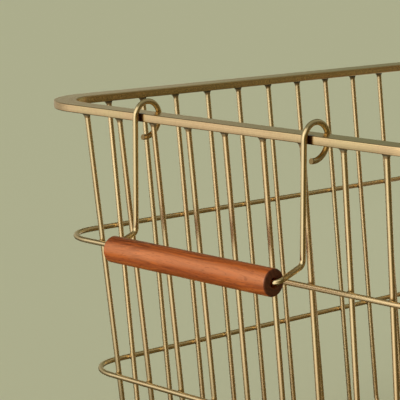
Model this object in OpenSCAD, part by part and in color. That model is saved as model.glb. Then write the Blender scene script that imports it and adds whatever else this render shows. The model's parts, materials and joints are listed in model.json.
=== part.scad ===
// Rectangular wire storage basket with a flat-bar rim, wires that run from rim
// to rim under the bottom, horizontal wire rings and a bail handle with a
// turned wooden grip at each short end.
// X runs along the length, Z is up and the origin lies on the ground below the
// middle of the basket.

/* [Rim] */
// Height of the rim's top above the ground
basket_h = 220.4; // [195:0.1:250]
// Outside length of the rim
rim_l = 404; // [340:1:470]
// Outside width of the rim
rim_w = 288; // [250:1:340]
// Outside radius of the rim's corners
rim_corner_r = 35.5; // [30:0.5:40]
// Width of the flat bar that the rim is bent from
band_w = 12; // [9:0.5:16]
// Height of the flat bar
band_t = 4.1; // [3:0.1:6]
// Rounding of the bar's long edges
band_edge_r = 0.4; // [0.2:0.1:0.8]

/* [Wires] */
// Diameter of every wire
wire_d = 2.8; // [2.2:0.1:3.4]
// How far every wall leans in on its way down, in degrees
wall_lean = 6.9; // [5:0.1:8]
// How far the outermost long wires lean towards the middle, in degrees
long_fan = 1.7; // [0:0.1:2.5]
// How far the outermost cross wires lean towards the middle, in degrees
cross_fan = 0.6; // [0:0.1:1.5]
// From the end of the rim's corner to the first long wire
long_first_gap = 6.9; // [4:0.1:10]
// From the end of the rim's corner to the first cross wire
cross_first_gap = 16.9; // [10:0.1:22]
// Centre-line radius of the bend between wall and bottom
foot_bend_r = 14; // [8:0.5:20]

/* [Rings] */
// Centre-line radius of the upper and lower ring's corners
ring_corner_r = 23; // [14:0.5:24]
// Centre-line radius of the foot ring's corners
foot_corner_r = 18; // [10:0.5:24]
// How far the foot ring reaches past the last cross wire
foot_reach = 6.5; // [4:0.5:10]
// How far the foot ring lies inside the start of the cross wires' bends
foot_inset = 4; // [2:0.5:10]

/* [Bails] */
// Distance between the two legs of a bail
bail_w = 114.4; // [100:0.1:130]
// Depth of the grip's axis below the rim's top
bail_drop = 65.6; // [56:0.1:80]
// Distance of the grip's axis from the rim's outer face
bail_out = 18.9; // [14:0.1:26]
// How far a bail has slid along the rim from the middle
bail_shift = 2.2; // [0:0.1:6]
// Play between a loop's inside and the sides of the flat bar
loop_play = 0.6; // [0.5:0.1:2]
// Centre-line radius of a loop's open end, which curls under the rim
curl_r = 9.8; // [9:0.1:12]
// How far a loop's open end curls on, in degrees, counted from the rim's inside
curl_turn = 98; // [80:1:110]
// Slope of the wire between leg and grip, in degrees
reach_slope = 19.5; // [5:0.5:30]
// Centre-line radius of the bend below a leg
knee_r = 3.5; // [3:0.5:8]
// Centre-line radius of the bend that enters the grip
heel_r = 4; // [3:0.1:5]

/* [Grips] */
// Diameter of a grip
grip_d = 13.2; // [10:0.1:18]
// Rounding of a grip's two ends
grip_edge_r = 1; // [0.4:0.1:2]
// From a grip's end to the line of the leg
grip_end_gap = 1.75; // [1.2:0.05:2.4]
// Clearance between a grip's bore and the wire, on the radius
spin_gap = 0.075; // [0.05:0.005:0.1]

/* [Hidden] */
// Wires in each direction, and steps from the rim's top down to the foot ring
long_wires = 9;
cross_wires = 13;
ring_rows = 3;
// Clearance between wires that touch at a weld
touch_gap = 0.05;
// Clearance between a resting loop and the flat bar
rest_gap = 0.25;
// Clearance of the bent wire in the widened end of the bore, and its spare depth
sink_gap = 0.2;
sink_spare = 1.6;
// Overrun of a cut past the face that it opens
cut_over = 1;
// Weld bead at a wire's top, as shares of the wire's diameter
bead_top_share = 1.65;
bead_foot_share = 1.2;
bead_h_share = 0.6;
bead_hold_share = 0.2;
// Ball that joins a straight and a bent stretch of wire, as a share of its diameter
knuckle_share = 1.005;

$fn = 48;
wire_r = wire_d / 2;
layer = wire_d + touch_gap;
// Levels of the centre lines above the ground
foot_z = wire_r;
cross_z = foot_z + layer;
long_z = cross_z + layer;
ring_step = (basket_h - foot_z) / ring_rows;
rim_z = basket_h - band_t;
// Half the distance between the tops of opposite walls' wires
top_x = (rim_l - band_w) / 2;
top_y = (rim_w - band_w) / 2;
// Half the width and length that the two sets of wires take up at the rim
long_half = rim_w / 2 - rim_corner_r - long_first_gap;
cross_half = rim_l / 2 - rim_corner_r - cross_first_gap;
bead_h = wire_d * bead_h_share;
bead_hold = wire_d * bead_hold_share;
// The hinge line of a bail runs through its loops' centres
loop_in_r = band_w / 2 + loop_play;
loop_r = loop_in_r + wire_r;
hinge_drop = band_edge_r
    + sqrt(pow(loop_in_r - rest_gap - band_edge_r, 2) - pow(band_w / 2 - band_edge_r, 2));
hinge_x = rim_l / 2 - band_w / 2;
hinge_z = basket_h - hinge_drop;
leg_y = bail_w / 2;
// Grip axis seen from the hinge line, outwards and down
axis_out = bail_out + band_w / 2;
axis_down = bail_drop - hinge_drop;
grip_l = bail_w - 2 * grip_end_gap;
heel_past = heel_r - grip_end_gap;
heel_side = sqrt(pow(heel_r, 2) - pow(heel_past, 2));
sink_r = heel_r - heel_side + wire_r * heel_r / heel_side + sink_gap;
sink_l = heel_past + sink_spare;

function wire_names(word, count) = [for (i = [1 : count]) str(word, i)];

// Place of wire i of a set, from -1 for the first to 1 for the last
function place(i, count) = 2 * (i - 1) / (count - 1) - 1;

// Half the distance between opposite rings' sides, at a depth below the rim
function ring_half(top_half, depth) =
    top_half - depth * tan(wall_lean) + layer / cos(wall_lean);

// Ball where one stretch of wire goes on as another
module knuckle() {
    sphere(d = wire_d * knuckle_share);
}

// Straight wire from the origin upwards, joined at one or both ends
module rod(l, knuckles = 2) {
    cylinder(h = l, d = wire_d);
    for (i = [0 : knuckles - 1]) translate([0, 0, i * l]) knuckle();
}

// Wire bent in the XZ plane about the origin, from one angle to another
module bend(r, from, to) {
    rotate([90, 0, 0])
        rotate([0, 0, from])
            rotate_extrude(angle = to - from, $fn = 96)
                translate([r, 0]) circle(d = wire_d);
}

// Cross section of the flat bar, with its inner bottom edge at the origin
module band_section() {
    translate([band_edge_r, 0]) square([band_w - 2 * band_edge_r, band_t]);
    translate([0, band_edge_r]) square([band_w, band_t - 2 * band_edge_r]);
    for (x = [band_edge_r, band_w - band_edge_r], y = [band_edge_r, band_t - band_edge_r])
        translate([x, y]) circle(r = band_edge_r, $fn = 24);
}

// Flat bar bent round into the rim: two long sides, two short sides, four corners
module rim() {
    color("#cda46e")
        translate([0, 0, rim_z])
            for (turn = [0, 180]) rotate([0, 0, turn]) {
                translate([0, rim_w / 2 - band_w, 0])
                    rotate([90, 0, 90])
                        linear_extrude(rim_l - 2 * rim_corner_r, center = true) band_section();
                translate([rim_l / 2 - band_w, 0, 0])
                    rotate([90, 0, 0])
                        linear_extrude(rim_w - 2 * rim_corner_r, center = true) band_section();
                translate([rim_l / 2 - rim_corner_r, rim_w / 2 - rim_corner_r, 0])
                    rotate_extrude(angle = 90, $fn = 128)
                        translate([rim_corner_r - band_w, 0]) band_section();
                translate([rim_corner_r - rim_l / 2, rim_w / 2 - rim_corner_r, 0])
                    rotate([0, 0, 90])
                        rotate_extrude(angle = 90, $fn = 128)
                            translate([rim_corner_r - band_w, 0]) band_section();
            }
}

// Closed ring of wire with rounded corners, given by its half sizes
module wire_ring(half_l, half_w, r) {
    color("#c09a5c")
        for (turn = [0, 180]) rotate([0, 0, turn]) {
            translate([r - half_l, half_w, 0])
                rotate([0, 90, 0]) rod(2 * (half_l - r));
            translate([half_l, half_w - r, 0])
                rotate([90, 0, 0]) rod(2 * (half_w - r));
            translate([half_l - r, half_w - r, 0])
                rotate_extrude(angle = 90, $fn = 96) translate([r, 0]) circle(d = wire_d);
            translate([r - half_l, half_w - r, 0])
                rotate([0, 0, 90])
                    rotate_extrude(angle = 90, $fn = 96) translate([r, 0]) circle(d = wire_d);
        }
}

// Ring round the outside of the walls' wires, counted down from the rim
module wall_ring(row) {
    depth = row * ring_step - band_t;
    translate([0, 0, basket_h - row * ring_step])
        wire_ring(ring_half(top_x, depth), ring_half(top_y, depth), ring_corner_r);
}

module upper_ring() {
    wall_ring(1);
}

module lower_ring() {
    wall_ring(2);
}

// The ring under the bottom that the basket stands on
module foot_ring() {
    cross_depth = rim_z - cross_z;
    bend_start = top_y - cross_depth * tan(wall_lean) - foot_bend_r * tan((90 - wall_lean) / 2);
    translate([0, 0, foot_z])
        wire_ring(cross_half - cross_depth * tan(cross_fan) + foot_reach,
                  bend_start - foot_inset, foot_corner_r);
}

// Wire that runs down one wall, along the bottom and up the opposite wall, in
// the XZ plane with the tops of its legs at the height of the origin. It leans
// sideways about the line through its tops and carries a weld bead on each.
module basket_wire(top_half, depth, side_lean) {
    deep = depth / cos(side_lean);
    low_half = top_half - deep * tan(wall_lean);
    turn = 90 - wall_lean;
    tangent = foot_bend_r * tan(turn / 2);
    leg_l = (deep - bead_hold) / cos(wall_lean) - tangent;
    color("#c6a062") {
        rotate([side_lean, 0, 0]) {
            translate([tangent - low_half, 0, -deep])
                rotate([0, 90, 0]) rod(2 * (low_half - tangent));
            for (side = [0, 180]) rotate([0, 0, side]) {
                translate([low_half - tangent, 0, foot_bend_r - deep])
                    bend(foot_bend_r, -90, -wall_lean);
                translate([low_half + tangent * sin(wall_lean), 0, tangent * cos(wall_lean) - deep])
                    rotate([0, wall_lean, 0]) rod(leg_l, knuckles = 1);
            }
        }
        for (side = [-1, 1])
            translate([side * top_half, 0, -bead_h])
                cylinder(h = bead_h, d1 = wire_d * bead_foot_share, d2 = wire_d * bead_top_share);
    }
}

// Wire i of the set that runs along the length
module long_wire(i) {
    s = place(i, long_wires);
    translate([0, s * long_half, rim_z])
        basket_wire(top_x, rim_z - long_z, -s * long_fan);
}

// Wire i of the set that runs across the width
module cross_wire(i) {
    s = place(i, cross_wires);
    translate([s * cross_half, 0, rim_z])
        rotate([0, 0, 90])
            basket_wire(top_y, rim_z - cross_z, s * cross_fan);
}

// Bail hanging outwards along -X, with its hinge line through the origin along Y
module bail() {
    knee_z = (axis_out - loop_r) * tan(reach_slope) - axis_down;
    knee_turn = 90 - reach_slope;
    knee_tangent = knee_r * tan(knee_turn / 2);
    reach_l = (axis_out - loop_r) / cos(reach_slope) - knee_tangent - heel_r;
    color("#c09a5c") {
        for (side = [-1, 1]) translate([0, side * leg_y, 0]) {
            bend(loop_r, 0, 180);
            translate([loop_r, 0, 0]) knuckle();
            translate([loop_r - curl_r, 0, 0]) bend(curl_r, -curl_turn, 0);
            translate([-loop_r, 0, knee_z + knee_tangent])
                rod(-knee_z - knee_tangent);
            translate([-loop_r - knee_r, 0, knee_z + knee_tangent])
                bend(knee_r, -knee_turn, 0);
            translate([-axis_out, 0, -axis_down])
                rotate([0, -reach_slope, 0]) {
                    translate([heel_r, 0, 0]) rotate([0, 90, 0]) rod(reach_l);
                    translate([heel_r, -side * heel_r, 0])
                        rotate([0, 0, side > 0 ? 90 : 180])
                            rotate_extrude(angle = 90, $fn = 96)
                                translate([heel_r, 0]) circle(d = wire_d);
                }
        }
        translate([-axis_out, leg_y - heel_r, -axis_down])
            rotate([90, 0, 0]) rod(2 * (leg_y - heel_r));
    }
}

// Turned grip on the bail's axis, bored for the wire and widened at both ends
module grip() {
    color("#b45f38")
        translate([-axis_out, 0, -axis_down])
            rotate([90, 0, 0])
                difference() {
                    union() {
                        cylinder(h = grip_l - 2 * grip_edge_r, d = grip_d, center = true);
                        cylinder(h = grip_l, r = grip_d / 2 - grip_edge_r, center = true);
                        for (side = [-1, 1])
                            translate([0, 0, side * (grip_l / 2 - grip_edge_r)])
                                rotate_extrude(angle = 360, $fn = 96)
                                    translate([grip_d / 2 - grip_edge_r, 0])
                                        circle(r = grip_edge_r, $fn = 32);
                    }
                    cylinder(h = grip_l, r = wire_r + spin_gap, center = true);
                    for (side = [-1, 1])
                        translate([0, 0, side * (grip_l + cut_over) / 2])
                            cylinder(h = 2 * sink_l + cut_over, r = sink_r, center = true);
                }
}

// Puts a bail's or a grip's frame on the rim at the -X end
module at_front() {
    translate([-hinge_x, -bail_shift, hinge_z]) children();
}

// The same at the +X end, turned half round
module at_rear() {
    rotate([0, 0, 180]) at_front() children();
}

rim();
upper_ring();
lower_ring();
foot_ring();
for (i = [1 : long_wires])
    long_wire(i);
for (i = [1 : cross_wires])
    cross_wire(i);
at_front() bail();  // front_bail
at_rear() bail();  // rear_bail
at_front() grip();  // front_grip
at_rear() grip();  // rear_grip
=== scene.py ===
"""Looks of a wire storage basket with a flat-bar rim and bails with turned wooden grips.

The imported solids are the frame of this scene. The wires, rings, bails and grips keep their solids and get a
finish. The rim is drawn again as a swept bar, whose brushing follows it round the corners, and the small welds
that hold the wires together are added. Lengths are in metres.
"""

import json
import logging
import math
from dataclasses import dataclass, field
from enum import Enum

import bmesh
import bpy
import numpy as np
from bpy.types import Material, Node, NodeSocket as Socket, NodeTree as Tree, Object
from mathutils import Matrix, Vector


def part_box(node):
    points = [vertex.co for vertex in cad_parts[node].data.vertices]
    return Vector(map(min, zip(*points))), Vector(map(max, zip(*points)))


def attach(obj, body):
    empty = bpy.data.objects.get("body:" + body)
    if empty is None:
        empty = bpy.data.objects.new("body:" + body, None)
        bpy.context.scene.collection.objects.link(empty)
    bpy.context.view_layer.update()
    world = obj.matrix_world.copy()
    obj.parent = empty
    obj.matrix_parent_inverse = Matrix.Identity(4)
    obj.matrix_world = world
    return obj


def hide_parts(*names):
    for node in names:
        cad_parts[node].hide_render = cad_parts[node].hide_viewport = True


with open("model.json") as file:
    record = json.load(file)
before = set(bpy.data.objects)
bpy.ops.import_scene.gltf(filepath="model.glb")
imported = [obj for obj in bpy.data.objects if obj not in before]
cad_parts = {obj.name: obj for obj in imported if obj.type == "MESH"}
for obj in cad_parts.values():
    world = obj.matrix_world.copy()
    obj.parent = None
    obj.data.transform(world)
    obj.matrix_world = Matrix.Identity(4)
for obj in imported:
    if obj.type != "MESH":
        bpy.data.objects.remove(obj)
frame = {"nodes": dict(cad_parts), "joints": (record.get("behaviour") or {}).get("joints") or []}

LOG = logging.getLogger("basket")
BODY = "basket"
MM = 0.001
# Points of a mesh that lie closer than this are merged
MERGE_DISTANCE = 0.0005 * MM
# Where the cut ends of a bail's tails lie: inwards of the rim's outer face, and below the rim
TAIL_INSET = 2.84 * MM
TAIL_DROP = 8.02 * MM
Pair = tuple[float, float]
Triple = tuple[float, float, float]
Colour = tuple[float, float, float, float]
Glows = tuple[tuple[float, Triple], ...]
# A closed shape's points, and how many lie along its profile and round it
Shape = tuple[np.ndarray, int, int]


class Slot(Enum):
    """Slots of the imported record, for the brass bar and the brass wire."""

    BAR = "brass_bar"
    WIRE = "brass_wire"


class Side(Enum):
    """The four walls, each by the direction that its outside faces."""

    FRONT = (-1, 0)
    REAR = (1, 0)
    LEFT = (0, 1)
    RIGHT = (0, -1)


def wire_radius() -> float:
    """Half the thickness of the foot ring's wire, from which everything is made."""
    low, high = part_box("foot_ring")
    return (high.z - low.z) / 2


def hinge_distance() -> float:
    """How far along X the bails' hinge lines lie from the middle. They run through the middle of the rim's bar."""
    return next(j for j in frame["joints"] if j["child"] == "rear_bail")["pos_m"][0]


class Graph:
    """A node tree that is being filled: adds nodes, sets their values and joins their sockets."""

    def __init__(self, tree: Tree) -> None:
        """Takes the empty shader tree or node group to fill."""
        self.tree = tree

    def add(self, kind: str, values: dict | None = None, **settings: object) -> Node:
        """Adds one node.

        Args:
            kind: the node's Blender type.
            values: what its inputs hold, by name or number. A socket there is linked.
            settings: properties of the node itself.

        Returns:
            The new node.
        """
        node = self.tree.nodes.new(kind)
        for name, value in settings.items():
            setattr(node, name, value)
        for key, value in (values or {}).items():
            if isinstance(value, Socket):
                self.tree.links.new(value, node.inputs[key])
            else:
                node.inputs[key].default_value = value
        return node

    def math(self, operation: str, *terms: object) -> Socket:
        """Adds one arithmetic node, named by its operation, and returns its result."""
        return self.add("ShaderNodeMath", dict(enumerate(terms)), operation=operation).outputs[0]

    def times(self, first: object, second: object) -> Socket:
        """Multiplies two values."""
        return self.math("MULTIPLY", first, second)

    def vector(self, operation: str, *terms: object) -> Socket:
        """Adds one vector node, named by its operation, and returns its vector."""
        return self.add("ShaderNodeVectorMath", dict(enumerate(terms)), operation=operation).outputs["Vector"]

    def measure(self, operation: str, *terms: object) -> Socket:
        """Adds one vector node, named by its operation, and returns the number that it works out."""
        return self.add("ShaderNodeVectorMath", dict(enumerate(terms)), operation=operation).outputs["Value"]

    def axis(self, vector: object, number: int) -> Socket:
        """Takes one of a vector's three numbers."""
        return self.add("ShaderNodeSeparateXYZ", {0: vector}).outputs[number]

    def darken(self, colour: object, shade: object) -> Socket:
        """Multiplies a colour by a shade from 0 to 1."""
        grey = self.add("ShaderNodeCombineColor", {0: shade, 1: shade, 2: shade}).outputs[0]
        return self.mix(1.0, colour, grey, blend="MULTIPLY")

    def step(self, value: object, low: object, high: object, to: tuple = (0.0, 1.0)) -> Socket:
        """Maps a value smoothly from low..high to the two ends of `to`, and holds it beyond them."""
        values = {"Value": value, "From Min": low, "From Max": high, "To Min": to[0], "To Max": to[1]}
        return self.add("ShaderNodeMapRange", values, interpolation_type="SMOOTHSTEP").outputs[0]

    def mix(self, share: object, first: object, second: object, blend: str = "MIX") -> Socket:
        """Mixes two colours by the share of the second, in the mixing mode of that name."""
        node = self.add("ShaderNodeMix", {0: share, 6: first, 7: second}, data_type="RGBA", blend_type=blend)
        return node.outputs[2]

    def noise(self, vector: object, scale: object, detail: float = 2.0, rough: float = 0.5) -> Socket:
        """Adds a noise of so many waves per metre, with finer octaves, and returns its value, about 0.3 to 0.7."""
        values = {"Vector": vector, "Scale": scale, "Detail": detail, "Roughness": rough}
        return self.add("ShaderNodeTexNoise", values, noise_dimensions="3D").outputs[0]


def group(name: str, inputs: dict[str, object], outputs: dict[str, str]) -> tuple[Tree, Graph]:
    """Starts a shader node group with named sockets.

    Args:
        name: the group's name.
        inputs: each input's name and its usual value, a number, a colour or a vector.
        outputs: each output's name and its socket type.

    Returns:
        The group and the graph that fills it.
    """
    tree = bpy.data.node_groups.new(name, "ShaderNodeTree")
    kinds = {float: "NodeSocketFloat", 3: "NodeSocketVector", 4: "NodeSocketColor"}
    for label, value in inputs.items():
        kind = kinds[float] if isinstance(value, float) else kinds[len(value)]
        socket = tree.interface.new_socket(label, in_out="INPUT", socket_type=kind)
        socket.default_value = value
    for label, kind in outputs.items():
        tree.interface.new_socket(label, in_out="OUTPUT", socket_type=kind)
    return tree, Graph(tree)


def blank(name: str) -> tuple[Material, Graph]:
    """Starts a material that has no nodes yet.

    Args:
        name: the material's name.

    Returns:
        The material and the graph that fills it.
    """
    made = bpy.data.materials.new(name)
    made.use_nodes = True
    made.node_tree.nodes.clear()
    return made, Graph(made.node_tree)


def tarnish_group() -> Tree:
    """Rosy patches on a brass finish, and the fine mottling where it has turned.

    Patches and mottling are two noises. A patch mixes the bright colour with the rosy one, and the mottling mixes
    in the turned one.

    Returns:
        A group that gives the colour, and the mottling as a value.
    """
    mottles_per_patch = 22.0
    inputs = {
        "Vector": (0.0, 0.0, 0.0),
        "Bright": (0.8, 0.6, 0.4, 1.0),
        "Rosy": (0.7, 0.45, 0.3, 1.0),
        "Turned": (0.4, 0.25, 0.1, 1.0),
        "Patches per Metre": 22.0,
        "Turned Share": 0.3,
    }
    outputs = {"Colour": "NodeSocketColor", "Mottle": "NodeSocketFloat"}
    tree, g = group("tarnish", inputs, outputs)
    into = g.add("NodeGroupInput").outputs
    patches = g.noise(into["Vector"], into["Patches per Metre"], detail=3.0, rough=0.6)
    mottle = g.noise(into["Vector"], g.times(into["Patches per Metre"], mottles_per_patch))
    base = g.mix(g.step(patches, 0.38, 0.62), into["Bright"], into["Rosy"])
    worn = g.times(g.step(mottle, 0.42, 0.72), into["Turned Share"])
    g.add("NodeGroupOutput", {"Colour": g.mix(worn, base, into["Turned"]), "Mottle": mottle})
    return tree


def brushing_group() -> Tree:
    """Fine lines that run along a bar.

    The coordinates are the length along the bar and the way round its section. The lines are a noise that is
    stretched along the bar, with a broader one added.

    Returns:
        A group that gives the lines from 0 to 1 and a height for the bump.
    """
    fine_share, broad_size = 0.65, 5.0
    inputs = {"Vector": (0.0, 0.0, 0.0), "Lines per Metre": 2600.0, "Stretch": 160.0}
    outputs = {"Lines": "NodeSocketFloat", "Height": "NodeSocketFloat"}
    tree, g = group("brushing", inputs, outputs)
    into = g.add("NodeGroupInput").outputs
    apart = g.add("ShaderNodeSeparateXYZ", {0: into["Vector"]}).outputs
    along = g.math("DIVIDE", apart[0], into["Stretch"])
    drawn = g.add("ShaderNodeCombineXYZ", {0: along, 1: apart[1], 2: apart[2]}).outputs[0]
    fine = g.noise(drawn, into["Lines per Metre"], detail=3.0, rough=0.65)
    broad = g.noise(drawn, g.math("DIVIDE", into["Lines per Metre"], broad_size))
    both = g.math("ADD", g.times(fine, fine_share), g.times(broad, 1 - fine_share))
    g.add("NodeGroupOutput", {"Lines": g.step(both, 0.34, 0.66), "Height": fine})
    return tree


@dataclass(frozen=True)
class Grain:
    """Grain of a turned hardwood rod that lies along Y, with its middle at the origin.

    The year rings are circles about a pith beside the rod, bent by a slow noise, so they show as long arches.
    Fine fibre lines and short dark pores are noises stretched along the rod. A pale band, partly sapwood and partly
    painted highlight, lies where the place reaches far enough along its direction, with the fibres added: down the
    side of the rod that faces out and up, where the front grip's highlight falls.
    Streaks gather in the same way along the heart direction. A stretch multiplies the coordinates, and an edge
    is the pair of values between which a smooth step rises from 0 to 1.
    """

    slow_stretch: Triple = (1.0, 0.12, 1.0)
    ring_stretch: Triple = (1.0, 0.06, 1.0)
    fibre_stretch: Triple = (1.0, 0.035, 1.0)
    pore_stretch: Triple = (1.0, 0.07, 1.0)
    bends_per_metre: float = 95.0
    clouds_per_metre: float = 210.0
    fibres_per_metre: float = 1500.0
    pores_per_metre: float = 3400.0
    bend_reach: float = 12.0 * MM
    ring_share: float = 0.34
    tone_edge: Pair = (0.30, 0.78)
    highlight_fray: float = 1.6 * MM
    highlight_edge: Pair = (6.25 * MM, 7.65 * MM)
    highlight_strength: float = 1.15
    core_edge: Pair = (4.2 * MM, 7.2 * MM)
    core_fibres: Pair = (0.36, 0.58)
    cloud_edge: Pair = (0.50, 0.72)
    cloud_fibres: Pair = (0.40, 0.66)
    pore_edge: Pair = (0.60, 0.68)
    streak_strength: float = 0.85
    pore_strength: float = 0.6
    highlight_clearness: float = 0.6
    shade_edge: Pair = (0.32, 0.68)
    shade: Pair = (1.10, 0.84)

    def build(self) -> Tree:
        """Builds the group.

        Returns:
            A group that gives the colour, the pores from 0 to 1, and a height for the bump.
        """
        inputs = {
            "Vector": (0.0, 0.0, 0.0),
            "Light": (0.5, 0.2, 0.1, 1.0),
            "Middle": (0.35, 0.1, 0.04, 1.0),
            "Dark": (0.1, 0.03, 0.01, 1.0),
            "Sapwood Highlight": (0.6, 0.2, 0.06, 1.0),
            "Pith": (0.0, 0.0, 0.0),
            "Sapwood Highlight Direction": (-1.0, 0.0, 0.0),
            "Heart Direction": (0.0, 0.0, 1.0),
            "Rings per Metre": 420.0,
        }
        outputs = {"Colour": "NodeSocketColor", "Pores": "NodeSocketFloat", "Height": "NodeSocketFloat"}
        tree, g = group("grain", inputs, outputs)
        into = g.add("NodeGroupInput").outputs
        place = into["Vector"]
        slow = g.vector("MULTIPLY", place, self.slow_stretch)
        # The bend is the colour of a slow noise, less its middle, times the reach
        wave = g.add("ShaderNodeTexNoise", {"Vector": slow, "Scale": self.bends_per_metre, "Detail": 1.0})
        centred = g.vector("SUBTRACT", wave.outputs["Color"], (0.5, 0.5, 0.5))
        swing = g.add("ShaderNodeVectorMath", {0: centred, "Scale": self.bend_reach}, operation="SCALE")
        bent = g.vector("ADD", place, swing.outputs["Vector"])
        # The rings are half a sine of the distance from the pith, plus a half
        away = g.vector("SUBTRACT", bent, into["Pith"])
        radius = g.measure("LENGTH", g.vector("MULTIPLY", away, self.ring_stretch))
        phase = g.times(g.times(radius, into["Rings per Metre"]), math.tau)
        rings = g.math("MULTIPLY_ADD", g.math("SINE", phase), 0.5, 0.5)
        fibres = g.noise(g.vector("MULTIPLY", bent, self.fibre_stretch), self.fibres_per_metre, 4.0, 0.65)
        cloud = g.noise(slow, self.clouds_per_metre)
        share = self.ring_share
        tone = g.math("ADD", g.times(rings, share), g.times(fibres, 1 - share))
        heart = g.mix(g.step(tone, *self.tone_edge), into["Light"], into["Middle"])
        # The pale band: partly sapwood, partly painted highlight on the side that faces out and up
        reach = g.measure("DOT_PRODUCT", place, into["Sapwood Highlight Direction"])
        highlight_band = g.step(g.math("MULTIPLY_ADD", fibres, self.highlight_fray, reach), *self.highlight_edge)
        strength = g.math("SUBTRACT", self.highlight_strength, g.times(tone, 0.5))
        body = g.mix(g.times(highlight_band, strength), heart, into["Sapwood Highlight"])
        reach = g.measure("DOT_PRODUCT", bent, into["Heart Direction"])
        core = g.times(g.step(reach, *self.core_edge), g.step(fibres, *self.core_fibres))
        clouds = g.times(g.step(cloud, *self.cloud_edge), g.step(fibres, *self.cloud_fibres))
        streaks = g.times(g.math("MAXIMUM", core, clouds), self.streak_strength)
        pores_at = g.vector("MULTIPLY", bent, self.pore_stretch)
        pores = g.step(g.noise(pores_at, self.pores_per_metre, 1.0), *self.pore_edge)
        dark = g.math("MAXIMUM", streaks, g.times(pores, self.pore_strength))
        dark = g.times(dark, g.math("SUBTRACT", 1.0, g.times(highlight_band, self.highlight_clearness)))
        shade = g.step(fibres, *self.shade_edge, to=self.shade)
        colour = g.darken(g.mix(dark, body, into["Dark"]), shade)
        height = g.math("SUBTRACT", g.times(fibres, 0.5), pores)
        g.add("NodeGroupOutput", {"Colour": colour, "Pores": pores, "Height": height})
        return tree


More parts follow.
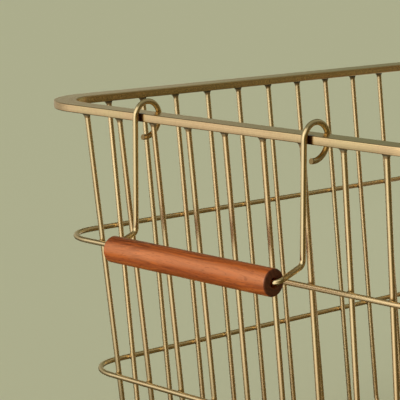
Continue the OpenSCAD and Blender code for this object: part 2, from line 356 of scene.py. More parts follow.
@dataclass(frozen=True)
class BrassFinish:
    """A satin brass finish on steel, plated and lacquered.

    Wires read the tarnish at Object coordinates. A bar also has brushing along its own map. Some finishes
    also have painted shade: under the rim, on the rim beside the bails' legs, and on the tails' ends.
    """

    name: str
    bright: Colour
    rosy: Colour
    turned: Colour
    turned_share: float
    roughness: Pair
    brushed: bool = False
    anisotropic: float = 0.0
    bump: float = 0.1
    bump_depth: float = 0.05 * MM
    patches: float = 22.0
    coat: float = 0.12
    coat_roughness: float = 0.22
    line_shade: float = 0.86
    line_share: float = 0.6
    # Painted shade: from a little below the rim's underside up to it, the colour turns dark, not metal and rough,
    # where the rim shades the wires' tops and the rim welds
    under_rim_shade_from: float | None = None
    under_rim_shade: Colour = (0.045, 0.034, 0.018, 1.0)
    under_rim_shade_reach: float = 2.4 * MM
    under_rim_shade_roughness: float = 0.8
    # Painted contact shade: dark spots on the rim's end faces beside the bails' legs, for each leg's shadow and
    # dark reflection
    contact_shade_at: tuple[Triple, ...] = ()
    contact_shade: Colour = (0.16, 0.10, 0.05, 1.0)
    contact_shade_reach: Pair = (2.6 * MM, 4.4 * MM)
    # Painted shade on the tails' ends, which darkens their reflection of the light
    tail_end_shade_at: tuple[Triple, ...] = ()
    tail_end_shade: Colour = (0.36, 0.31, 0.22, 1.0)
    tail_end_shade_reach: Pair = (1.44 * MM, 1.62 * MM)

    def spots(self, g: Graph, place: Socket, centres: tuple, keep: Triple, reach: Pair) -> Socket:
        """Spots that are full near their centres and fade with the distance from them.

        Args:
            g: the graph to add to.
            place: the Object coordinates.
            centres: the spots' middles.
            keep: 1 for each axis along which the distance counts, and 0 for the others.
            reach: the distances at which a spot starts to fade and is gone.

        Returns:
            The spots' strength, from 0 to 1.
        """
        marks = 0.0
        for centre in centres:
            away = g.measure("LENGTH", g.vector("MULTIPLY", g.vector("SUBTRACT", place, centre), keep))
            marks = g.math("MAXIMUM", marks, g.step(away, *reach, to=(1.0, 0.0)))
        return marks

    def material(self, tarnish: Tree, brushing: Tree) -> Material:
        """Builds the finish.

        Args:
            tarnish: the tarnish group.
            brushing: the brushing group.

        Returns:
            The material.
        """
        made, g = blank(self.name)
        places = g.add("ShaderNodeTexCoord").outputs
        aged = g.add("ShaderNodeGroup", {
            "Vector": places["Object"],
            "Bright": self.bright,
            "Rosy": self.rosy,
            "Turned": self.turned,
            "Turned Share": self.turned_share,
            "Patches per Metre": self.patches,
        }, node_tree=tarnish).outputs
        colour, dull, height = aged["Colour"], aged["Mottle"], aged["Mottle"]
        metal, coat = 1.0, self.coat
        if self.brushed:
            lines = g.add("ShaderNodeGroup", {"Vector": places["UV"]}, node_tree=brushing).outputs
            colour = g.darken(colour, g.step(lines["Lines"], 0.0, 1.0, to=(self.line_shade, 1.0)))
            dull = g.times(dull, 1 - self.line_share)
            dull = g.math("ADD", dull, g.times(lines["Lines"], self.line_share))
            height = lines["Height"]
        # Painted shade spots: contact shade on the rim beside the legs, and shade on the tails' ends
        for centres, keep, reach, tint in ((self.contact_shade_at, (1.0, 1.0, 0.0), self.contact_shade_reach, self.contact_shade),
                                           (self.tail_end_shade_at, (1.0, 1.0, 1.0), self.tail_end_shade_reach, self.tail_end_shade)):
            if centres:
                marks = self.spots(g, places["Object"], centres, keep, reach)
                colour = g.mix(marks, colour, g.mix(1.0, colour, tint, blend="MULTIPLY"))
        rough = g.step(dull, 0.25, 0.75, to=self.roughness)
        # Painted shade under the rim: darker, not metal and rougher towards the rim's underside
        if self.under_rim_shade_from is not None:
            up = g.axis(places["Object"], 2)
            under_rim_shade_mask = g.step(up, self.under_rim_shade_from, self.under_rim_shade_from + self.under_rim_shade_reach)
            colour = g.mix(under_rim_shade_mask, colour, self.under_rim_shade)
            metal = g.math("SUBTRACT", 1.0, under_rim_shade_mask)
            coat = g.times(metal, coat)
            rough = g.math("MAXIMUM", rough, g.times(under_rim_shade_mask, self.under_rim_shade_roughness))
        bump = g.add("ShaderNodeBump", {"Height": height, "Strength": self.bump, "Distance": self.bump_depth})
        shader = g.add("ShaderNodeBsdfPrincipled", {
            "Base Color": colour,
            "Roughness": rough,
            "Metallic": metal,
            "Normal": bump.outputs[0],
            "Anisotropic": self.anisotropic,
            "Coat Weight": coat,
            "Coat Roughness": self.coat_roughness,
        })
        if self.anisotropic:
            tangent = g.add("ShaderNodeTangent", direction_type="UV_MAP", uv_map="Flow")
            g.tree.links.new(tangent.outputs[0], shader.inputs["Tangent"])
        g.add("ShaderNodeOutputMaterial", {"Surface": shader.outputs[0]})
        return made


@dataclass(frozen=True)
class WoodFinish:
    """A stained hardwood grip under a satin lacquer, with thirsty end grain that took more stain.

    The end grain starts a little before the grip's end and is full at the end band's second value. A value with
    two numbers goes from plain wood to pores (roughness) or to the ends (coat).
    """

    name: str
    middle: Vector
    half_length: float
    pith: Triple
    outward: float
    light: Colour = (0.47, 0.112, 0.018, 1.0)
    body: Colour = (0.30, 0.060, 0.008, 1.0)
    dark: Colour = (0.10, 0.015, 0.002, 1.0)
    # Colour of the pale band: partly sapwood, partly painted highlight
    sapwood_highlight: Colour = (0.60, 0.205, 0.078, 1.0)
    end_tint: Colour = (0.26, 0.26, 0.36, 1.0)
    end_band: Pair = (0.9 * MM, 0.2 * MM)
    end_roughness: float = 0.2
    # The pale band lies this way from the grip's middle, turned outwards, where the front grip's highlight falls
    sapwood_highlight_direction: Triple = (0.927, 0.0, 0.375)
    heart_direction: Triple = (0.45, 0.035, 0.89)
    roughness: Pair = (0.36, 0.60)
    coat: Pair = (0.08, 0.02)
    coat_roughness: float = 0.34
    specular: float = 0.25
    bump: float = 0.35
    bump_depth: float = 0.12 * MM

    def facing(self, direction: Triple) -> Triple:
        """Turns a direction outwards from the basket."""
        return direction[0] * self.outward, direction[1], direction[2]

    def material(self, grain: Tree) -> Material:
        """Builds the finish.

        Args:
            grain: the grain group.

        Returns:
            The material.
        """
        made, g = blank(self.name)
        place = g.add("ShaderNodeTexCoord").outputs["Object"]
        centred = g.add("ShaderNodeMapping", {"Vector": place, "Location": -self.middle}).outputs[0]
        wood = g.add("ShaderNodeGroup", {
            "Vector": centred,
            "Pith": self.pith,
            "Light": self.light,
            "Middle": self.body,
            "Dark": self.dark,
            "Sapwood Highlight": self.sapwood_highlight,
            "Sapwood Highlight Direction": self.facing(self.sapwood_highlight_direction),
            "Heart Direction": self.facing(self.heart_direction),
        }, node_tree=grain).outputs
        starts, full = self.end_band
        ends = g.step(g.math("ABSOLUTE", g.axis(centred, 1)), self.half_length - starts, self.half_length - full)
        stained = g.mix(1.0, wood["Colour"], self.end_tint, blend="MULTIPLY")
        rough = g.step(wood["Pores"], 0.0, 1.0, to=self.roughness)
        values = {"Height": wood["Height"], "Strength": self.bump, "Distance": self.bump_depth}
        bump = g.add("ShaderNodeBump", values)
        shader = g.add("ShaderNodeBsdfPrincipled", {
            "Base Color": g.mix(ends, wood["Colour"], stained),
            "Roughness": g.math("ADD", rough, g.times(ends, self.end_roughness)),
            "Normal": bump.outputs[0],
            "Coat Weight": g.step(ends, 0.0, 1.0, to=self.coat),
            "Coat Roughness": self.coat_roughness,
            "Specular IOR Level": self.specular,
        })
        g.add("ShaderNodeOutputMaterial", {"Surface": shader.outputs[0]})
        return made


@dataclass(frozen=True)
class Finishes:
    """Every finish of the basket, made once."""

    bar: Material
    wire: Material
    bail: Material
    spot_weld: Material
    rim_weld: Material
    grain: Tree

    @classmethod
    def build(cls) -> "Finishes":
        """Builds the node groups and the metal finishes that share them.

        The rim's painted contact shade lies on its end faces where the bails' legs rest, and the painted shade of
        the tails' ends below the rim at the same places. The wires and the rim welds get painted shade just under
        the rim.

        Returns:
            The finishes, with the grain that each grip's own finish takes.
        """
        tarnish, brushing = tarnish_group(), brushing_group()
        bright, rosy, turned = (0.76, 0.595, 0.315, 1.0), (0.77, 0.565, 0.295, 1.0), (0.46, 0.31, 0.14, 1.0)
        gold, pink, brown = (0.77, 0.59, 0.29, 1.0), (0.79, 0.56, 0.285, 1.0), (0.20, 0.145, 0.065, 1.0)
        under, half_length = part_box("rim")[0].z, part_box("rim")[1].x
        legs = [(low.y + high.y) / 2 + way * ((high.y - low.y) / 2 - wire_radius())
                for low, high in (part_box("front_bail"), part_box("rear_bail")) for way in (-1, 1)]
        ends = (-half_length, -half_length, half_length, half_length)
        contact_shade = tuple((x, y, 0.0) for x, y in zip(ends, legs))
        tail_end_shade = tuple((x - math.copysign(TAIL_INSET, x), y, under - TAIL_DROP) for x, y, _ in contact_shade)
        # Painted shade on the wires and the rim welds starts this far below the rim's underside
        under_rim_shade_from = under - 3.0 * MM
        metals = (
            BrassFinish("brushed_brass_bar", gold, pink, turned, 0.15, (0.18, 0.26), brushed=True, anisotropic=0.3,
                        bump=0.04, contact_shade_at=contact_shade),
            BrassFinish("satin_brass_wire", bright, rosy, turned, 0.06, (0.26, 0.29), bump=0.004,
                        under_rim_shade_from=under_rim_shade_from),
            BrassFinish("satin_brass_bail", bright, bright, turned, 0.05, (0.16, 0.18), bump=0.004, tail_end_shade_at=tail_end_shade),
            BrassFinish("brass_spot_weld", brown, turned, brown, 0.5, (0.34, 0.5), patches=60.0),
            BrassFinish("rim_weld_under_rim_shade", turned, turned, turned, 0.3, (0.4, 0.6), patches=60.0,
                        under_rim_shade_from=under_rim_shade_from),
        )
        return cls(*(metal.material(tarnish, brushing) for metal in metals), Grain().build())


def quads(rows: int, columns: int, ring_rows: bool, ring_columns: bool) -> np.ndarray:
    """The faces of a grid of points, as four corner numbers each.

    Corner (i, j) is number i * columns + j, and a closed direction joins its last line to its first.

    Args:
        rows: points along the first direction.
        columns: points along the second direction.
        ring_rows: whether the first direction closes.
        ring_columns: whether the second direction closes.

    Returns:
        An array of faces by four corners.
    """
    i = np.arange(rows if ring_rows else rows - 1)[:, None]
    j = np.arange(columns if ring_columns else columns - 1)[None, :]
    up, over = (i + 1) % rows, (j + 1) % columns
    corners = [i * columns + j, up * columns + j, up * columns + over, i * columns + over]
    return np.stack(np.broadcast_arrays(*corners), axis=-1).reshape(-1, 4)


def piece(name: str, points: np.ndarray, faces: np.ndarray, finish: Material,
          uv: np.ndarray | None = None) -> Object:
    """Makes a smooth object from points and faces, with its doubles merged and its faces outwards.

    Args:
        name: the piece's name.
        points: one row of X, Y, Z per point, in metres.
        faces: one row of four point numbers per face.
        finish: its material.
        uv: an optional map, one row per face, four corners, two values.

    Returns:
        The object, at the origin.
    """
    mesh = bpy.data.meshes.new(name)
    mesh.from_pydata(points.reshape(-1, 3).tolist(), [], faces.tolist())
    if uv is not None:
        flow = mesh.uv_layers.new(name="Flow")
        flow.data.foreach_set("uv", uv.reshape(-1).astype(np.float32))
    shape = bmesh.new()
    shape.from_mesh(mesh)
    bmesh.ops.remove_doubles(shape, verts=shape.verts, dist=MERGE_DISTANCE)
    bmesh.ops.recalc_face_normals(shape, faces=shape.faces)
    shape.to_mesh(mesh)
    shape.free()
    mesh.polygons.foreach_set("use_smooth", np.ones(len(mesh.polygons), bool))
    mesh.materials.append(finish)
    made = bpy.data.objects.new(name, mesh)
    bpy.context.scene.collection.objects.link(made)
    LOG.info("%s: %d faces", name, len(mesh.polygons))
    return made


@dataclass
class RimBar:
    """The flat bar of the rim, swept round its rounded rectangle with a map that follows it."""

    finish: Material
    corner_radius: float = 35.5 * MM
    edge_radius: float = 0.5 * MM
    corner_steps: int = 28
    side_steps: int = 12
    edge_steps: int = 4
    flat_margin: float = 0.15 * MM
    crown: float = 0.07 * MM
    crown_steps: int = 5
    low: Vector = field(default_factory=lambda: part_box("rim")[0])
    high: Vector = field(default_factory=lambda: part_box("rim")[1])

    @property
    def bar_width(self) -> float:
        """The bar's width: twice the way from its outer face to the bail's hinge line, which is in its middle."""
        return 2 * (self.high.x - hinge_distance())

    def section(self) -> np.ndarray:
        """The bar's outline as distance in from the outer face and height, with rounded edges and crowned sides.

        Each corner is a quarter circle of the edge radius. A point close to either end of each quarter keeps
        the flats flat where the shading is smooth. The two sides bulge by the crown, as a parabola of height.

        Returns:
            One row of distance and height per point, all the way round.
        """
        tall, wide, r, crown = self.high.z - self.low.z, self.bar_width, self.edge_radius, self.crown
        near, far = crown + r, wide - crown - r
        centres = np.array([[near, tall - r], [far, tall - r], [far, r], [near, r]])
        starts = np.array([180.0, 90.0, 0.0, -90.0])
        turn = np.radians(starts[:, None] - np.linspace(0, 90, self.edge_steps + 1)[None, :])
        arcs = centres[:, None, :] + r * np.stack([np.cos(turn), np.sin(turn)], axis=-1)
        ahead = self.flat_margin * np.stack([np.sin(turn), -np.cos(turn)], axis=-1)
        before, after = arcs[:, :1] - ahead[:, :1], arcs[:, -1:] + ahead[:, -1:]
        rounded = np.concatenate([before, arcs, after], axis=1)
        rise = np.linspace(r, tall - r, self.crown_steps + 2)[1:-1]
        bulge = crown * (1 - ((rise - tall / 2) / (tall / 2 - r)) ** 2)
        outer = np.stack([crown - bulge, rise], axis=1)
        inner = np.stack([wide - crown + bulge, rise], axis=1)[::-1]
        return np.vstack([*rounded[:2], inner, *rounded[2:], outer])

    def path(self) -> tuple[np.ndarray, np.ndarray, np.ndarray]:
        """The outer face's line in plan, from the middle of the right side round to there again.

        A quarter is a straight half side, a quarter circle and a straight half end. Each next quarter is its
        mirror, so the line is worked out for one quarter and turned into four.

        Returns:
            The points, the outward directions and the length along the line up to each point.
        """
        half_x, half_y, r = self.high.x, self.high.y, self.corner_radius
        turn = np.radians(np.linspace(-90, 0, self.corner_steps + 1))
        round_corner = np.stack([np.cos(turn), np.sin(turn)], axis=-1)
        side = np.linspace([0.0, -half_y], [half_x - r, -half_y], self.side_steps, endpoint=False)
        arc = np.array([half_x - r, r - half_y]) + r * round_corner
        end = np.linspace([half_x, r - half_y], [half_x, 0.0], self.side_steps, endpoint=False)[1:]
        quarter = np.vstack([side, arc, end])
        facing = np.vstack([np.tile([0.0, -1.0], (len(side), 1)), round_corner, np.tile([1.0, 0.0], (len(end), 1))])
        up = np.array([1.0, -1.0])
        half = np.vstack([quarter, [[half_x, 0.0]], (quarter * up)[:0:-1]])
        half_facing = np.vstack([facing, [[1.0, 0.0]], (facing * up)[:0:-1]])
        line = np.vstack([half, [[0.0, half_y]], -half[1:], [[0.0, -half_y]]])
        out = np.vstack([half_facing, [[0.0, 1.0]], -half_facing[1:], [[0.0, -1.0]]])
        steps = np.linalg.norm(np.diff(line, axis=0), axis=1)
        return line, out, np.concatenate([[0.0], np.cumsum(steps)])

    def build(self) -> None:
        """Sweeps the section along the path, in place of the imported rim.

        A point is the path's point, moved in along its outward direction by the section's first value, at the
        height of its second. The map is the length along the bar and the way round its section.
        """
        line, out, along = self.path()
        outline = self.section()
        flat = line[:, None, :] - out[:, None, :] * outline[None, :, :1]
        height = np.broadcast_to(self.low.z + outline[None, :, 1:], (len(line), len(outline), 1))
        points = np.concatenate([flat, height], axis=-1)
        faces = quads(len(line), len(outline), False, True)
        closed = np.vstack([outline, outline[:1]])
        round_way = np.concatenate([[0.0], np.cumsum(np.linalg.norm(np.diff(closed, axis=0), axis=1))])
        rows, columns = faces[:, 0] // len(outline), faces[:, 0] % len(outline)
        u = np.stack([along[rows], along[rows + 1], along[rows + 1], along[rows]], axis=1)
        near, far = round_way[columns], round_way[columns + 1]
        v = np.stack([near, near, far, far], axis=1)
        bar = piece("rim_bar", points, faces, self.finish, np.stack([u, v], axis=-1))
        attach(bar, BODY)
        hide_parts("rim")


@dataclass
class WireWelds:
    """The welds that hold the wires to the rim, to the rings and to each other."""

    spot_finish: Material
    rim_finish: Material
    wall_lean: float = math.radians(6.9)
    long_fan: float = math.radians(1.7)
    cross_fan: float = math.radians(0.6)
    # The wires of an end wall and of a long wall, and half the width that each set takes up at the rim
    long_count: int = 9
    cross_count: int = 13
    long_half: float = 101.6 * MM
    cross_half: float = 149.6 * MM
    wire_gap: float = 0.05 * MM
    # How far a fillet's foot reaches along the rim, to both sides, and across it
    foot_ahead: float = 4.2 * MM
    foot_behind: float = 2.1 * MM
    foot_across: float = 2.1 * MM
    # As shares of the wire's radius: a fillet's length, what of it is sunk into the rim, and how close it ends
    fillet_drop: float = 2.6
    fillet_sink: float = 0.3
    fillet_hug: float = 0.97
    fillet_power: float = 2.3
    fillet_columns: int = 20
    # The same for a nugget's half width and half thickness
    nugget_across: float = 1.18
    nugget_tall: float = 0.62
    nugget_rows: int = 7
    nugget_columns: int = 10
    radius: float = field(default_factory=wire_radius)

    @property
    def layer(self) -> float:
        """From one wire's centre line to that of the wire welded across it."""
        return 2 * self.radius + self.wire_gap

    def tops(self) -> Triple:
        """Where the walls' wires end at the rim, whose bar they meet in its middle.

        Returns:
            Half the distance between opposite walls' wires, along X and along Y, and the rim's underside.
        """
        low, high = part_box("rim")
        half_bar = high.x - hinge_distance()
        return high.x - half_bar, high.y - half_bar, low.z

    def leg(self, side: Side, depth: float) -> tuple[np.ndarray, np.ndarray]:
        """Where the wires of one wall pass a depth below the rim's underside, and which way each runs down.

        A wire leans in by the wall's lean and towards the wall's middle by its share of the fan, so both
        offsets are the depth times the tangent of the lean.

        Args:
            side: the wall.
            depth: how far below the rim's underside.

        Returns:
            The points and the unit directions down the wires, one row each.
        """
        top_x, top_y, under = self.tops()
        end_wall = side.value[0] != 0
        share = np.linspace(-1, 1, self.long_count if end_wall else self.cross_count)
        half, fan = (self.long_half, self.long_fan) if end_wall else (self.cross_half, self.cross_fan)
        top = top_x if end_wall else top_y
        out = sum(side.value)
        slip = np.tan(share * fan)
        lean = np.tan(self.wall_lean) / np.cos(share * fan)
        away = out * (top - depth * lean)
        beside = share * half - depth * slip
        down = np.stack([-out * lean, -slip, -np.ones_like(share)], axis=1)
        points = np.stack([away, beside, np.full_like(share, under - depth)], axis=1)
        if not end_wall:
            down, points = down[:, [1, 0, 2]], points[:, [1, 0, 2]]
        return points, down / np.linalg.norm(down, axis=1, keepdims=True)

    def many(self, name: str, shape: Shape, places: list, axes: list, finish: Material) -> None:
        """Makes one piece of many copies of a closed shape, riding on the basket.

        A copy's point is its place plus the shape's three values times the place's three axes.

        Args:
            name: the piece's name.
            shape: the shape.
            places: arrays of places, one row per copy.
            axes: arrays of axes, three unit rows per copy.
            finish: its material.
        """
        model, rows, columns = shape
        at = np.concatenate(places)
        points = at[:, None, :] + np.einsum("pk,nkx->npx", model, np.concatenate(axes))
        faces = quads(rows, columns, False, True)
        offsets = np.arange(len(at))[:, None, None] * len(model)
        made = piece(name, points, (faces[None] + offsets).reshape(-1, 4), finish)
        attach(made, BODY)

    def nugget(self) -> Shape:
        """The metal squeezed out between two crossed wires: an ellipsoid, wide across and flat.

        Returns:
            The shape, with its points' third value along the line between the wires.
        """
        rows, columns = self.nugget_rows, self.nugget_columns
        across, tall = self.nugget_across * self.radius, self.nugget_tall * self.radius
        fall = np.linspace(0, math.pi, rows)[:, None]
        turn = np.linspace(0, math.tau, columns, endpoint=False)[None, :]
        x = across * np.sin(fall) * np.cos(turn)
        y = across * np.sin(fall) * np.sin(turn)
        z = tall * np.cos(fall) * np.ones_like(turn)
        return np.stack([x, y, z], axis=-1).reshape(-1, 3), rows, columns

    def fillet(self) -> Shape:
        """The fillet at a wire's top, wide on the rim's underside and drawn in to the wire below.

        Its distance from the wire's axis falls from the foot's ellipse to the wire by a power of the depth, and
        the foot reaches further one way along the rim than the other.

        Returns:
            The shape, with its points' third value down the wire.
        """
        columns, drop, sink = self.fillet_columns, self.fillet_drop * self.radius, self.fillet_sink * self.radius
        depth = np.array([-sink, -sink, 0.0, 0.06, 0.14, 0.25, 0.4, 0.6, 0.8, 1.0, 1.0])
        depth = np.where(depth > 0, depth * drop, depth)[:, None]
        turn = np.linspace(0, math.tau, columns, endpoint=False)[None, :]
        reach = np.where(np.cos(turn) > 0, self.foot_ahead, self.foot_behind)
        foot = 1 / np.sqrt((np.cos(turn) / reach) ** 2 + (np.sin(turn) / self.foot_across) ** 2)
        fall = (1 - np.clip(depth / drop, 0, 1)) ** self.fillet_power
        hug = self.fillet_hug * self.radius
        radius = hug + (foot - hug) * fall
        # Both ends close to a point
        radius[[0, -1]] = 0
        shape = np.stack([radius * np.cos(turn), radius * np.sin(turn), depth * np.ones_like(turn)], axis=-1)
        return shape.reshape(-1, 3), len(depth), columns

    def squared(self, way: np.ndarray, down: np.ndarray) -> np.ndarray:
        """A direction less its part along each wire, made a unit: one row per wire, square to it."""
        across = way - down * (down @ way)[:, None]
        return across / np.linalg.norm(across, axis=1, keepdims=True)

    def rim_fillets(self) -> None:
        """Makes the fillets under the rim, at both ends of every wire."""
        places, axes = [], []
        for side in Side:
            tops, down = self.leg(side, 0.0)
            along = self.squared(np.array([0.0, 1.0, 0.0] if side.value[0] else [-1.0, 0.0, 0.0]), down)
            places.append(tops)
            axes.append(np.stack([along, np.cross(down, along), down], axis=1))
        self.many("rim_welds", self.fillet(), places, axes, self.rim_finish)

    def ring_nuggets(self) -> None:
        """Makes the nuggets where the upper and the lower ring cross the walls' wires."""
        under = self.tops()[2]
        places, axes = [], []
        for ring in ("upper_ring", "lower_ring"):
            low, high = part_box(ring)
            level = (low.z + high.z) / 2
            for side in Side:
                # The wire passes its ring a little above the ring's own level, because the wall leans
                raised = self.layer * math.sin(self.wall_lean)
                wires, down = self.leg(side, under - level - raised)
                outward = self.squared(np.array([*side.value, 0.0]), down)
                places.append(wires + outward * self.layer / 2)
                axes.append(np.stack([down, np.cross(outward, down), outward], axis=1))
        self.many("ring_welds", self.nugget(), places, axes, self.spot_finish)

    def bottom_nuggets(self) -> None:
        """Makes the nuggets of the bottom: long wires on cross wires, and cross wires on the foot ring."""
        under = self.tops()[2]
        low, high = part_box("foot_ring")
        foot_level, foot_half = (low.z + high.z) / 2, high.y - self.radius
        cross_level = foot_level + self.layer
        long_level = cross_level + self.layer
        cross_x = self.leg(Side.LEFT, under - cross_level)[0][:, 0]
        long_y = self.leg(Side.REAR, under - long_level)[0][:, 1]
        grid = np.stack(np.meshgrid(cross_x, long_y, indexing="ij"), axis=-1).reshape(-1, 2)
        upper = np.column_stack([grid, np.full(len(grid), (cross_level + long_level) / 2)])
        feet = np.stack(np.meshgrid(cross_x, [-foot_half, foot_half], indexing="ij"), axis=-1).reshape(-1, 2)
        lower = np.column_stack([feet, np.full(len(feet), (foot_level + cross_level) / 2)])
        axes = np.tile(np.eye(3), (len(upper) + len(lower), 1, 1))
        self.many("bottom_welds", self.nugget(), [upper, lower], [axes], self.spot_finish)

    def build(self) -> None:
        """Makes the three pieces of welds."""
        self.rim_fillets()
        self.ring_nuggets()
        self.bottom_nuggets()


@dataclass
class Handles:
    """The two bails and their grips, which keep their solids."""

    finishes: Finishes
    # The middle of each grip's year rings, seen from the grip's middle
    piths: tuple[Triple, ...] = ((4.0 * MM, 18 * MM, 9.0 * MM), (-7.0 * MM, -25 * MM, 6.0 * MM))

    def dress(self) -> None:
        """Gives both bails their finish and each grip its own piece of wood."""
        for end, pith, outward in zip(("front", "rear"), self.piths, (-1.0, 1.0)):
            finish_node(f"{end}_bail", self.finishes.bail)
            low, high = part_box(f"{end}_grip")
            wood = WoodFinish(f"{end}_grip_wood", (low + high) / 2, (high.y - low.y) / 2, pith, outward)
            finish_node(f"{end}_grip", wood.material(self.finishes.grain))


def finish_node(name: str, finish: Material) -> None:
    """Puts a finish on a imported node, in place of every material that its object holds.

    Args:
        name: the node.
        finish: its new material.
    """
    for held in frame["nodes"][name].material_slots:
        held.material = finish
    LOG.info("%s: %s", name, finish.name)


@dataclass(frozen=True)
class Screen:
    """A screen that only the metal sees: a round table, a wall, a window above it and a roof about the basket.

    A photographer stands bright and dark cards round metal to shape its highlights. Here the glow changes with
    the bearing from the basket's middle, and the camera stands at -142 degrees. A narrow bright card stands on
    its left and a softer one behind the basket. The window is bright behind the camera, for the tops of the
    bails' loops. The table is dark close to the basket, and the roof has one dim glow.
    """

    name: str = "cards_round_the_metal"
    radius: float = 1.25
    bend: float = 0.35
    wall_top: float = 2.0
    roof: float = 2.5
    lift: float = 1.0 * MM
    bend_steps: int = 9
    round_steps: int = 96
    # Where each part of the glow goes over into the next: distances from the middle, then heights
    table_starts: Pair = (0.24, 0.42)
    wall_starts: Pair = (0.75, 1.15)
    window_starts: Pair = (0.50, 0.80)
    roof_starts: Pair = (1.50, 2.00)
    # Glow by bearing in degrees
    table: Glows = (
        (-180, (1.02, 0.99, 0.94)), (-166, (1.24, 1.21, 1.17)), (-152, (1.16, 1.12, 1.06)),
        (-137, (0.34, 0.30, 0.20)), (-122, (0.11, 0.090, 0.034)), (-60, (0.075, 0.061, 0.028)),
        (-22, (0.13, 0.110, 0.062)), (4, (0.55, 0.53, 0.46)), (30, (0.85, 0.83, 0.76)),
        (48, (0.50, 0.48, 0.40)), (64, (0.06, 0.05, 0.025)), (84, (0.08, 0.07, 0.04)),
        (110, (0.09, 0.080, 0.048)), (150, (0.31, 0.295, 0.25)), (180, (1.02, 0.99, 0.94)),
    )
    wall: Glows = (
        (-180, (0.98, 0.96, 0.94)), (-168, (1.27, 1.25, 1.22)), (-158, (1.24, 1.21, 1.17)),
        (-146, (0.30, 0.26, 0.18)), (-130, (0.11, 0.090, 0.034)), (-60, (0.10, 0.080, 0.038)),
        (-25, (0.18, 0.155, 0.095)), (5, (0.30, 0.32, 0.22)), (44, (0.24, 0.25, 0.155)),
        (54, (0.36, 0.34, 0.23)), (84, (0.44, 0.42, 0.32)), (110, (0.46, 0.44, 0.39)),
        (136, (0.86, 0.84, 0.84)), (180, (0.98, 0.96, 0.94)),
    )
    window: Glows = (
        (-180, (1.15, 1.14, 1.12)), (-160, (1.10, 1.09, 1.06)), (-142, (0.95, 0.93, 0.88)),
        (-126, (0.75, 0.72, 0.64)), (-108, (0.10, 0.085, 0.04)), (-60, (0.20, 0.19, 0.15)),
        (-30, (0.34, 0.34, 0.28)), (-5, (0.31, 0.31, 0.25)), (25, (0.09, 0.08, 0.04)),
        (70, (0.08, 0.07, 0.035)), (100, (0.12, 0.11, 0.07)), (118, (0.14, 0.13, 0.09)),
        (140, (0.95, 0.94, 0.92)), (180, (1.15, 1.14, 1.12)),
    )
    # Glow of the table close to the basket: a painted shadow of the basket in the reflections
    shade: Colour = (0.085, 0.068, 0.028, 1.0)
    roof_glow: Colour = (0.28, 0.29, 0.235, 1.0)

    def ramp(self, g: Graph, bearing: Socket, stops: Glows) -> Socket:
        """Turns a bearing into a glow.

        Args:
            g: the graph to add to.
            bearing: the bearing as a share of a full turn, starting opposite to +X.
            stops: bearings in degrees with their glows, in order.

        Returns:
            The glow's socket.
        """
        node = g.add("ShaderNodeValToRGB", {0: bearing})
        held = node.color_ramp.elements
        for degrees, _ in stops[1:-1]:
            held.new(degrees / 360 + 0.5)
        for stop, (_, glow) in zip(held, stops):
            stop.color = (*glow, 1.0)
        return node.outputs[0]

    def finish(self) -> Material:
        """Builds the glow: dark close to the basket, then the table's, the wall's, the window's and the roof's.

        Returns:
            The material.
        """
        finish, g = blank(self.name)
        place = g.add("ShaderNodeTexCoord").outputs["Object"]
        bearing = g.add("ShaderNodeTexGradient", {0: place}, gradient_type="RADIAL").outputs[1]
        up = g.axis(place, 2)
        reach = g.measure("LENGTH", g.vector("MULTIPLY", place, (1.0, 1.0, 0.0)))
        glow = g.mix(g.step(reach, *self.table_starts), self.shade, self.ramp(g, bearing, self.table))
        glow = g.mix(g.step(reach, *self.wall_starts), glow, self.ramp(g, bearing, self.wall))
        glow = g.mix(g.step(up, *self.window_starts), glow, self.ramp(g, bearing, self.window))
        glow = g.mix(g.step(up, *self.roof_starts), glow, self.roof_glow)
        g.add("ShaderNodeOutputMaterial", {0: g.add("ShaderNodeEmission", {"Color": glow}).outputs[0]})
        return finish

    def build(self) -> None:
        """Turns a profile about the basket's middle: out along the table, up a bend and the wall, and in again.

        Only reflections see the screen.
        """
        turn = np.radians(np.linspace(0, 90, self.bend_steps))
        out = self.radius - self.bend * (1 - np.sin(turn))
        bend = np.stack([out, self.lift + self.bend * (1 - np.cos(turn))], axis=1)
        inner = self.lift
        profile = np.vstack([[[inner, self.lift]], bend, [[self.radius, self.wall_top], [inner, self.roof]]])
        bearing = np.linspace(-math.pi, math.pi, self.round_steps, endpoint=False)
        ways = np.stack([np.cos(bearing), np.sin(bearing)], axis=1)
        flat = ways[:, None, :] * profile[None, :, :1]
        height = np.broadcast_to(profile[None, :, 1:], (len(bearing), len(profile), 1))
        points = np.concatenate([flat, height], axis=-1)
        screen = piece(self.name, points, quads(len(bearing), len(profile), True, False), self.finish())
        screen.visible_camera = screen.visible_diffuse = screen.visible_shadow = False


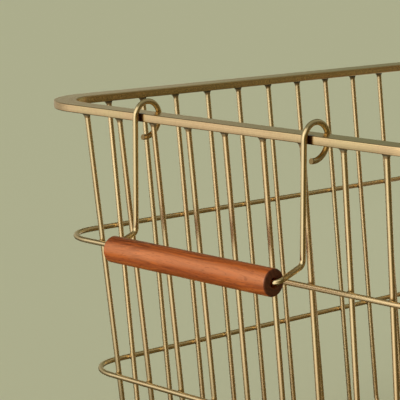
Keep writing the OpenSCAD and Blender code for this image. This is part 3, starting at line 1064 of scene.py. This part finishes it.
@dataclass(frozen=True)
class Studio:
    """A plain pale floor, a soft light from the front left, and the camera at the photograph's place."""

    floor_half: float = 30.0
    floor_colour: Colour = (0.695, 0.705, 0.530, 1.0)
    floor_roughness: float = 0.9
    floor_specular: float = 0.1
    sky_colour: Colour = (0.3595, 0.365, 0.280, 1.0)
    sky_strength: float = 1.0
    key_strength: float = 2.3
    key_bearing: float = math.radians(172.0)
    key_height: float = math.radians(19.0)
    key_spread: float = math.radians(44.0)
    key_colour: Triple = (1.0, 0.965, 0.90)
    screen: Screen = Screen()
    camera_place: Vector = Vector((-0.8131, -0.6301, 0.3314))
    camera_azimuth: float = math.radians(316.36)
    camera_elevation: float = math.radians(9.56)
    lens_mm: float = 167.6
    sensor_mm: float = 36.0
    clip: Pair = (0.01, 100.0)

    def floor(self) -> None:
        """Lays the floor as one square."""
        h = self.floor_half
        points = np.array([[-h, -h, 0], [h, -h, 0], [h, h, 0], [-h, h, 0]], float)
        finish = bpy.data.materials.new("plain_floor")
        finish.use_nodes = True
        shader = finish.node_tree.nodes["Principled BSDF"]
        shader.inputs["Base Color"].default_value = self.floor_colour
        shader.inputs["Roughness"].default_value = self.floor_roughness
        shader.inputs["Specular IOR Level"].default_value = self.floor_specular
        piece("floor", points, np.array([[0, 1, 2, 3]]), finish)

    def sky(self) -> None:
        """Sets the even light from all round."""
        world = bpy.data.worlds.new("studio")
        world.use_nodes = True
        light = world.node_tree.nodes["Background"].inputs
        light["Color"].default_value = self.sky_colour
        light["Strength"].default_value = self.sky_strength
        bpy.context.scene.world = world

    def key(self) -> None:
        """Hangs the soft key light, so far off that it falls evenly over the whole floor."""
        light = bpy.data.lights.new("key", "SUN")
        light.energy = self.key_strength
        light.color = self.key_colour
        light.angle = self.key_spread
        b, h = self.key_bearing, self.key_height
        way = Vector((math.cos(b) * math.cos(h), math.sin(b) * math.cos(h), math.sin(h)))
        lamp = bpy.data.objects.new("key", light)
        lamp.rotation_euler = (-way).to_track_quat("-Z", "Y").to_euler()
        bpy.context.scene.collection.objects.link(lamp)

    def camera(self) -> None:
        """Sets the camera up without roll: it looks along its azimuth and down by its elevation."""
        a, e = self.camera_azimuth, self.camera_elevation
        ahead = Vector((-math.sin(a) * math.cos(e), math.cos(a) * math.cos(e), -math.sin(e)))
        right = ahead.cross(Vector((0, 0, 1))).normalized()
        turned = Matrix((right, right.cross(ahead), -ahead)).transposed()
        data = bpy.data.cameras.new("camera")
        data.sensor_width = self.sensor_mm
        data.lens = self.lens_mm
        data.clip_start, data.clip_end = self.clip
        stand = bpy.data.objects.new("camera", data)
        stand.matrix_world = Matrix.Translation(self.camera_place) @ turned.to_4x4()
        bpy.context.scene.collection.objects.link(stand)
        bpy.context.scene.camera = stand

    def build(self) -> None:
        """Sets the whole studio up."""
        self.floor()
        self.sky()
        self.key()
        self.screen.build()
        self.camera()
        bpy.context.scene.view_settings.view_transform = "Standard"


def corners(box: tuple[Vector, Vector]) -> list[list[float]]:
    """A box's two corners as plain lists of numbers."""
    return [list(corner) for corner in box]


def main() -> None:
    """Builds the studio, the finishes and the pieces in order."""
    logging.basicConfig(level=logging.INFO, format="%(message)s")
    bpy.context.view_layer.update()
    Studio().build()
    finishes = Finishes.build()
    for name in frame["nodes"]:
        if "wire" in name or "ring" in name:
            finish_node(name, finishes.wire)
    RimBar(finishes.bar).build()
    WireWelds(finishes.spot_weld, finishes.rim_weld).build()
    Handles(finishes).dress()


if __name__ == "__main__":
    main()
